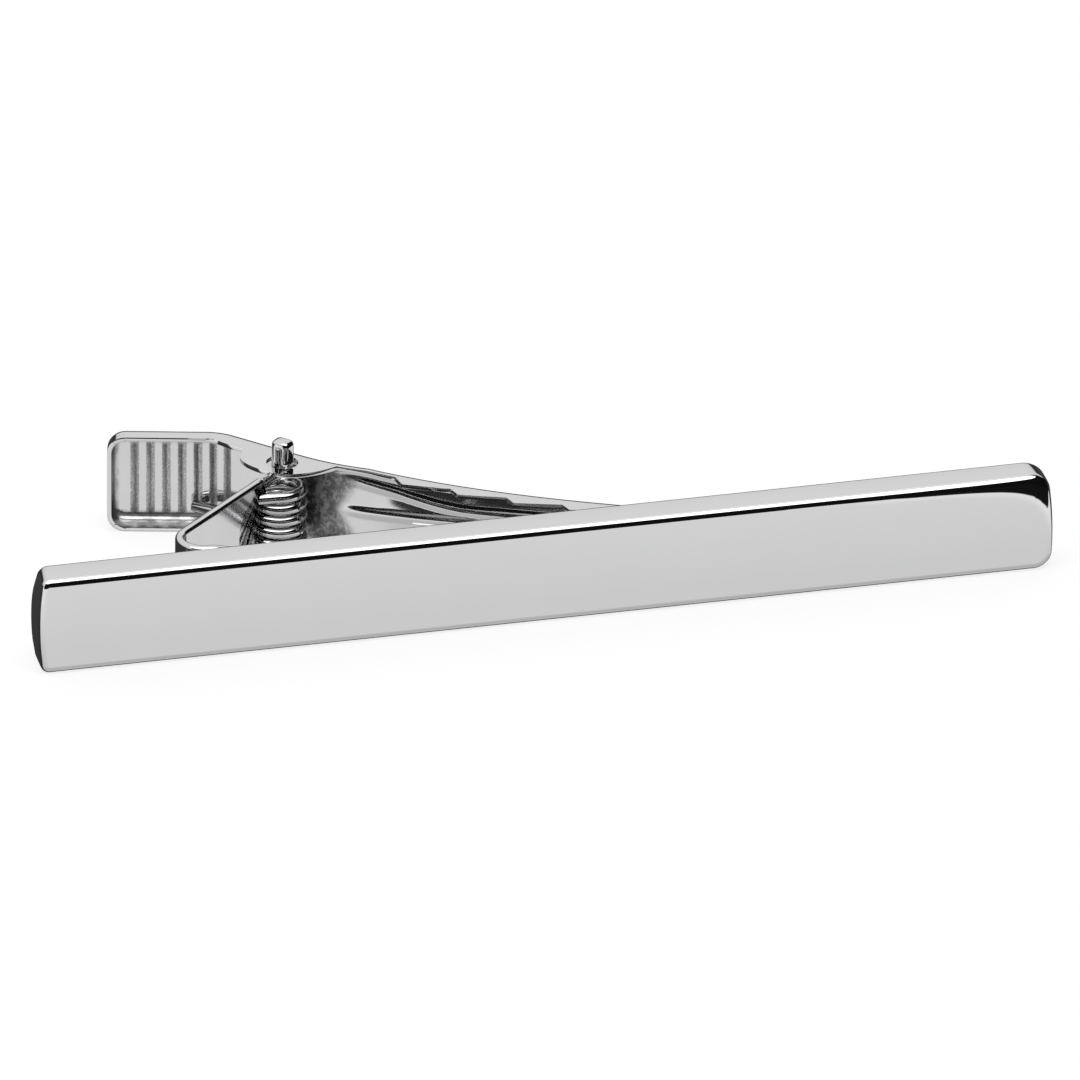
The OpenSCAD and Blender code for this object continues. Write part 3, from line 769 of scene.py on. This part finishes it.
class CLIP_OT_strip(bpy.types.Operator):
    """Build the folded base strip with its window and pivot tabs"""

    bl_idname = "tie_clip.strip"
    bl_label = "Base strip"

    def execute(self, context):
        settings = context.scene.tie_clip
        strip = in_mm(settings.strip)
        lay = strip_layout(in_mm(settings.bar), strip)
        lever = in_mm(settings.lever)
        reach = math.sqrt((lever.hole_r - strip.tab_clear) ** 2 - (strip.sheet / 2) ** 2)
        tab_from = lay.post_from + strip.post - reach
        end = tab_from + strip.tab_w
        shoulder = lay.post_from + strip.post - strip.shoulder
        window = lay.post_from + strip.post - strip.window_l
        half, root, slot, ear = strip.width / 2, strip.root_w / 2, strip.window_h / 2, lever.width / 2
        hem_r = (strip.sheet + strip.layer_gap) / 2
        bend_z = ear + strip.head_h - strip.sheet
        foot_z = ear + strip.foot_gap
        hem_l = math.pi * hem_r
        tab_top = bend_z + hem_l + bend_z - foot_z

        bm = bmesh.new()
        flat_face(bm, [
            (0, -half), (shoulder, -half), (shoulder, -root), (tab_from, -root), (tab_from, -ear),
            (end, -ear), (end, -slot), (window, -slot), (window, slot), (end, slot), (end, tab_top),
            (tab_from, tab_top), (tab_from, root), (shoulder, root), (shoulder, half), (0, half),
        ])
        window_corners = [v for v in bm.verts if abs(v.co.x - window) < NUDGE]
        round_corners(bm, window_corners, slot * 0.99, 12)
        small = [v for v in bm.verts if (
            v.co.x < NUDGE or abs(v.co.y) > ear - NUDGE or abs(abs(v.co.y) - half) < NUDGE)]
        round_corners(bm, small, 0.2, 5)
        thicken(bm, strip.sheet)
        round_edges(bm, sharp_edges(bm), strip.edge_r, 5)
        fold_cuts = spread(lay.fold_from, lay.post_from, 0.11)
        tuck_cuts = spread(lay.fold_from - 1.8, lay.fold_from, 0.15)
        for s in (*fold_cuts, 2, 6, 10, *tuck_cuts, lay.post_from + 1.6, lay.post_from + 3.2):
            cut(bm, X, s)
        for z in spread(bend_z, bend_z + hem_l, 0.08):
            cut(bm, Y, z)

        hem = Path([(bend_z, math.pi / 2, math.pi / 2), (hem_l, math.pi / 2, 1.5 * math.pi),
                    (bend_z, 1.5 * math.pi, 1.5 * math.pi)])
        for v in bm.verts:
            s, z, off = v.co
            z -= strip.leg_tuck * ease((lay.fold_from - s) / 1.6) * z / half
            if z > bend_z:
                folded = hem.place(z, -off)
                off, z = folded.x, folded.y
                # The fold is pressed flatter on top than a round one
                if z > bend_z:
                    square = Vector((off + hem_r, z - bend_z))
                    power = 5
                    square *= square.length / (abs(square.x) ** power + square.y ** power) ** (1 / power)
                    off, z = square.x - hem_r, square.y + bend_z
            place = lay.line.place(s, off)
            v.co = (place.x, place.y, z)
        bmesh.ops.recalc_face_normals(bm, faces=bm.faces[:])
        piece = finish_piece(
            bm, "strip_folded", "base_strip", strip_nickel(settings.finishes.strip))
        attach(piece, "clip_base")
        even_shading(piece)
        return {"FINISHED"}


class CLIP_OT_lever(bpy.types.Operator):
    """Build the stamped lever with its pad, ears and toothed arm"""

    bl_idname = "tie_clip.lever"
    bl_label = "Lever"

    def execute(self, context):
        settings = context.scene.tie_clip
        bar, lever = in_mm(settings.bar), in_mm(settings.lever)
        form = LeverForm(bar, lever, strip_layout(bar, in_mm(settings.strip)).pivot)
        bm = bmesh.new()
        rim_edges = self.web(bm, form)
        self.sides(bm, form, rim_edges)
        self.ear_holes(bm, form)
        groove = bm.verts.layers.float.new("groove")
        neck = bm.verts.layers.float.new("neck")
        flange = bm.verts.layers.float.new("flange")
        for v in bm.verts:
            s, z, depth = v.co
            web = ease((form.half_w(s) - lever.bend_r * 0.7 - abs(z)) / 0.5) * ease((s - 0.45) / 0.3)
            # These masks mark where the inside material paints shade: a little in the grooves, dark in the
            # neck, in blotches on the pad's rim
            rough_end = form.arm_s - 2.6 - s + 0.6 * abs(z)
            v[groove] = form.matt(s) * web
            v[neck] = ease((s - form.pivot_s) / 0.8) * ease(rough_end / 0.9) * web
            v[flange] = ease((form.neck_s + 1 - s) / 1.5) * (1 - web)
            place = form.path.place(s, -depth)
            v.co = (place.x, place.y, z)
        bmesh.ops.recalc_face_normals(bm, faces=bm.faces[:])
        back = max(bm.faces, key=lambda f: f.calc_center_median().y)
        if back.normal.y < 0:
            bmesh.ops.reverse_faces(bm, faces=bm.faces[:])
        piece = finish_piece(
            bm, "lever_stamped", "lever", lever_polish(settings.finishes.lever))
        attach(piece, "lever")
        finishes = settings.finishes
        piece.data.materials.append(lever_inside(finishes.lever, finishes.groove, finishes.neck))
        wall = piece.modifiers.new("sheet", "SOLIDIFY")
        wall.thickness = lever.sheet * MM
        wall.offset = -1
        wall.use_even_offset = True
        wall.use_quality_normals = True
        wall.material_offset = 1
        edges = piece.modifiers.new("cut edges", "BEVEL")
        edges.width = lever.edge_r * MM
        edges.segments = 3
        edges.limit_method = "ANGLE"
        edges.angle_limit = math.radians(55)
        even_shading(piece)
        return {"FINISHED"}

    def web(self, bm, form):
        """The flat back of the lever, in station and height, cut across and pressed."""
        lever = form.lever
        half = lever.width / 2 - lever.bend_r
        start, end = lever.bend_r, form.end_s
        flat_face(bm, [(start, -half), (end, -half), (end, half), (start, half)])
        pad_corners = [v for v in bm.verts if v.co.x < start + NUDGE]
        round_corners(bm, pad_corners, lever.pad_corner_r - lever.bend_r, 6)
        for s in form.stations():
            if start < s < end:
                cut(bm, X, s)
        strips = 22
        for i in range(1 - strips, strips):
            cut(bm, Y, half * i / strips)
        at_tip = end - NUDGE
        rim = [e for e in bm.edges if e.is_boundary and min(v.co.x for v in e.verts) < at_tip]
        for v in bm.verts:
            s, y, _ = v.co
            m = abs(y) / half
            width = (form.half_w(s) - lever.bend_r) / half
            groove_run = ease((half - abs(y) - 0.05) / 0.22)
            depth = lever.bead_h * form.bead(s, m) + lever.ripple_h * form.ripple(s, y * width)
            depth -= lever.rib_h * form.groove(s) * groove_run
            v.co = (s, y * width, depth)
        return rim

    def sides(self, bm, form, rim):
        """Draws the web's edge round the bend and down to the sides' free edge."""
        lever = form.lever
        base = [bm.verts.layers.float.new(name) for name in ("base_s", "base_z", "out_s", "out_z")]
        corner_s = lever.pad_corner_r
        corner_z = lever.width / 2 - lever.pad_corner_r
        for v in {v for e in rim for v in e.verts}:
            s, z, _ = v.co
            ds, dz = s - corner_s, abs(z) - corner_z
            if ds >= 0:
                out = Vector((0, 1))
            elif dz <= 0:
                out = Vector((-1, 0))
            else:
                out = Vector((ds, dz)).normalized()
            for layer, number in zip(base, (s, z, out.x, math.copysign(out.y, z) if out.y else 0)):
                v[layer] = number
        bend_steps, wall_steps = 7, 16
        edges = rim
        for step in range(1, bend_steps + wall_steps + 1):
            grown = bmesh.ops.extrude_edge_only(bm, edges=edges)["geom"]
            new_verts = set(verts_in(grown))
            edges = [e for e in edges_in(grown) if e.is_boundary and set(e.verts) <= new_verts]
            for v in new_verts:
                s0, z0, out_s, out_z = (v[layer] for layer in base)
                turn = min(1, step / bend_steps) * math.pi / 2
                outside = lever.bend_r * math.sin(turn)
                s = s0 + out_s * outside
                depth = lever.bend_r * (1 - math.cos(turn))
                if step > bend_steps:
                    depth = blend(lever.bend_r, form.depth(s), (step - bend_steps) / wall_steps)
                v.co = (s, z0 + out_z * outside, depth)

    def ear_holes(self, bm, form):
        """Opens the round holes that turn on the strip's tabs."""
        lever = form.lever
        side = lever.width / 2 - NUDGE
        rim_reach = lever.hole_r * 1.35

        def from_axis(co):
            return Vector((co.x - form.pivot_s, co.z - lever.pivot_depth))

        inside = [f for f in bm.faces if all(abs(v.co.y) > side for v in f.verts)
                  and from_axis(f.calc_center_median()).length < lever.hole_r]
        bmesh.ops.delete(bm, geom=inside, context="FACES")
        for v in bm.verts:
            arm = from_axis(v.co)
            if v.is_boundary and abs(v.co.y) > side and arm.length < rim_reach:
                arm = arm.normalized() * lever.hole_r
                v.co.x, v.co.z = form.pivot_s + arm.x, lever.pivot_depth + arm.y


class CLIP_OT_spring(bpy.types.Operator):
    """Build the torsion spring"""

    bl_idname = "tie_clip.spring"
    bl_label = "Spring"

    def execute(self, context):
        settings = context.scene.tie_clip
        bar, strip, lever, spring = (
            in_mm(group) for group in (settings.bar, settings.strip, settings.lever, settings.spring))
        lay = strip_layout(bar, strip)
        form = LeverForm(bar, lever, lay.pivot)
        coil_r = (spring.coil - spring.wire) / 2
        centre = lay.pivot - spring.shift * lay.along
        pad_out = Vector((-math.sin(lever.pad_angle), math.cos(lever.pad_angle)))
        pad_reach = (form.path.start - centre).dot(pad_out) - lever.sheet - spring.wire / 2 - spring.gap
        pad_dir = (lever.pad_angle + math.pi / 2 + math.atan2(coil_r, spring.pad_leg)
                   + math.acos(pad_reach / math.hypot(coil_r, spring.pad_leg)))
        pad_touch = pad_dir - math.pi / 2
        post_dir = math.pi + strip.fold_angle - spring.post_tilt
        post_touch = post_dir + math.pi / 2 - 2 * math.pi * (spring.turns + 1)
        sweep = post_touch - pad_touch

        bm = bmesh.new()
        ring = bmesh.ops.create_circle(bm, cap_ends=False, segments=16, radius=spring.wire / 2)["verts"]
        stand = Matrix.Rotation(pad_touch, 4, "Z") @ Matrix.Rotation(math.pi / 2, 4, "X")
        start = centre + coil_r * Vector((math.cos(pad_touch), math.sin(pad_touch)))
        bmesh.ops.transform(
            bm, matrix=Matrix.Translation((start.x, start.y, -spring.height / 2)) @ stand, verts=ring)
        first = bm.edges[:]
        steps = math.ceil(abs(sweep) / math.radians(9))
        last = edges_in(bmesh.ops.spin(
            bm, geom=ring + first, cent=(centre.x, centre.y, 0), axis=(0, 0, 1), angle=sweep, steps=steps,
            dvec=(0, 0, spring.height / steps), use_duplicate=False)["geom_last"])
        for edges, turned, run in ((first, pad_dir, spring.pad_leg), (last, post_dir, spring.post_leg)):
            self.leg(bm, edges, Vector((math.cos(turned), math.sin(turned), 0)), run, spring.wire)
        bmesh.ops.remove_doubles(bm, verts=bm.verts[:], dist=NUDGE)
        bmesh.ops.recalc_face_normals(bm, faces=bm.faces[:])
        piece = finish_piece(
            bm, "spring_wound", "spring", spring_bright(settings.finishes.wire))
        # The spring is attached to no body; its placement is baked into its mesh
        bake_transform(piece)
        return {"FINISHED"}

    def leg(self, bm, edges, along, run, wire):
        """Draws a ring of the wire out straight and closes it with a slightly rounded end."""
        rounding = wire * 0.12
        for distance, shrink in ((run - rounding, 1), (rounding * 0.6, 0.93), (rounding * 0.4, 0.8)):
            grown = bmesh.ops.extrude_edge_only(bm, edges=edges)["geom"]
            verts = verts_in(grown)
            bmesh.ops.translate(bm, verts=verts, vec=along * distance)
            middle = sum((v.co for v in verts), Vector()) / len(verts)
            for v in verts:
                v.co = middle + (v.co - middle) * shrink
            edges = [e for e in edges_in(grown) if set(e.verts) <= set(verts)]
        bmesh.ops.edgeloop_fill(bm, edges=edges)


# Stage


class CLIP_OT_stage(bpy.types.Operator):
    """Set the floor, the studio light and the camera"""

    bl_idname = "tie_clip.stage"
    bl_label = "Stage"

    def execute(self, context):
        look = context.scene.tie_clip.stage
        self.floor(look)
        self.world(context.scene, look)
        self.camera(context.scene, look)
        context.scene.view_settings.view_transform = "Standard"
        return {"FINISHED"}

    def floor(self, look):
        bm = bmesh.new()
        bmesh.ops.create_grid(bm, x_segments=1, y_segments=1, size=1.5)
        bmesh.ops.translate(bm, vec=(0, 0, FLOOR_Z), verts=bm.verts[:])
        mesh = bpy.data.meshes.new("floor")
        bm.to_mesh(mesh)
        bm.free()
        floor = bpy.data.objects.new("floor", mesh)
        bpy.context.scene.collection.objects.link(floor)
        material = bpy.data.materials.new("white floor")
        shade = Shade(material)
        rays = shade.node("ShaderNodeLightPath")
        seen = shade.value(rays, "Is Camera Ray")
        for name in ("Is Glossy Ray", "Is Transmission Ray"):
            seen = seen + shade.value(rays, name)
        lit = shade.node("ShaderNodeBsdfDiffuse", None, {"Color": (0.9, 0.9, 0.9, 1)})
        glow = shade.node("ShaderNodeEmission", None, {"Color": (1, 1, 1, 1), "Strength": 1.0})
        mixed = shade.node("ShaderNodeMixShader", None, {
            0: seen * look.floor_glow, 1: shade.value(lit), 2: shade.value(glow)})
        shade.node("ShaderNodeOutputMaterial", None, {"Surface": shade.value(mixed)})
        mesh.materials.append(material)
        floor.visible_glossy = False

    def world(self, scene, look):
        """A softbox overhead, a light front table, dark flags, and a white background."""
        world = bpy.data.worlds.new("studio")
        scene.world = world
        shade = Shade(world)
        towards = shade.value(shade.node("ShaderNodeTexCoord"), 0)

        def along(direction):
            dot = shade.node(
                "ShaderNodeVectorMath", {"operation": "DOT_PRODUCT"},
                {0: towards, 1: Vector(direction).normalized()[:]})
            return shade.value(dot, "Value")

        up = along((0, 0, 1))
        behind = along((0, 1, 0)).between(-0.12, 0.12)
        softbox = up.between(0.715, 0.735) * (1 - behind) + up.between(0.8, 1.15) * behind * 0.5
        front_flag = along((0.45, -0.89, 0)).between(-0.09, -0.03) * up.between(-0.275, -0.25)
        side_flag = along((-0.26, 0.97, 0)).between(0.16, 0.21) * (1 - up.between(0.15, 0.24))
        table = 1.32 - (up * -1).between(0.12, 0.75) * 0.62
        sky = 0.84 + up.between(0.1, 0.55) * 0.22
        below = 1 - up.between(-0.1, 0.02)
        level = below * table + (1 - below) * sky
        flagged = (1 - front_flag * 0.992) * (1 - side_flag * 0.95)
        level = level * flagged * (1 - softbox) + softbox * look.softbox
        rays = shade.node("ShaderNodeLightPath")
        camera = shade.value(rays, "Is Camera Ray")
        strength = camera + (1 - camera) * level
        light = shade.node("ShaderNodeBackground", None, {"Color": (1, 1, 1, 1), "Strength": strength})
        shade.node("ShaderNodeOutputWorld", None, {"Surface": shade.value(light)})

    def camera(self, scene, look):
        data = bpy.data.cameras.new("camera")
        data.type = "ORTHO"
        data.ortho_scale = look.frame_w
        data.clip_start, data.clip_end = 0.01, 10
        distance = 0.5
        back = Vector((
            math.sin(look.azimuth) * math.cos(look.elevation),
            -math.cos(look.azimuth) * math.cos(look.elevation),
            math.sin(look.elevation)))
        middle = Vector((-0.42, 0, 2.33)) * MM
        camera = bpy.data.objects.new("camera", data)
        camera.location = middle + back * distance
        camera.rotation_mode = "QUATERNION"
        camera.rotation_quaternion = (-back).to_track_quat("-Z", "Y")
        scene.collection.objects.link(camera)
        scene.camera = camera


class CLIP_PT_panel(bpy.types.Panel):
    """Lists the pieces of the tie clip"""

    bl_label = "Tie clip"
    bl_space_type = "VIEW_3D"
    bl_region_type = "UI"
    bl_category = "Tie clip"

    def draw(self, context):
        for operator in PIECES:
            self.layout.operator(operator.bl_idname)


PIECES = (CLIP_OT_bar, CLIP_OT_strip, CLIP_OT_lever, CLIP_OT_spring, CLIP_OT_stage)
CLASSES = (
    BarSizes, StripSizes, LeverSizes, SpringSizes, Finishes, StageLook, ClipSettings, *PIECES,
    CLIP_PT_panel)


def register():
    for cls in CLASSES:
        bpy.utils.register_class(cls)
    bpy.types.Scene.tie_clip = PointerProperty(type=ClipSettings)


def unregister():
    del bpy.types.Scene.tie_clip
    for cls in reversed(CLASSES):
        bpy.utils.unregister_class(cls)


def main():
    register()
    for operator in PIECES:
        group, name = operator.bl_idname.split(".")
        getattr(getattr(bpy.ops, group), name)()


if __name__ == "__main__":
    main()
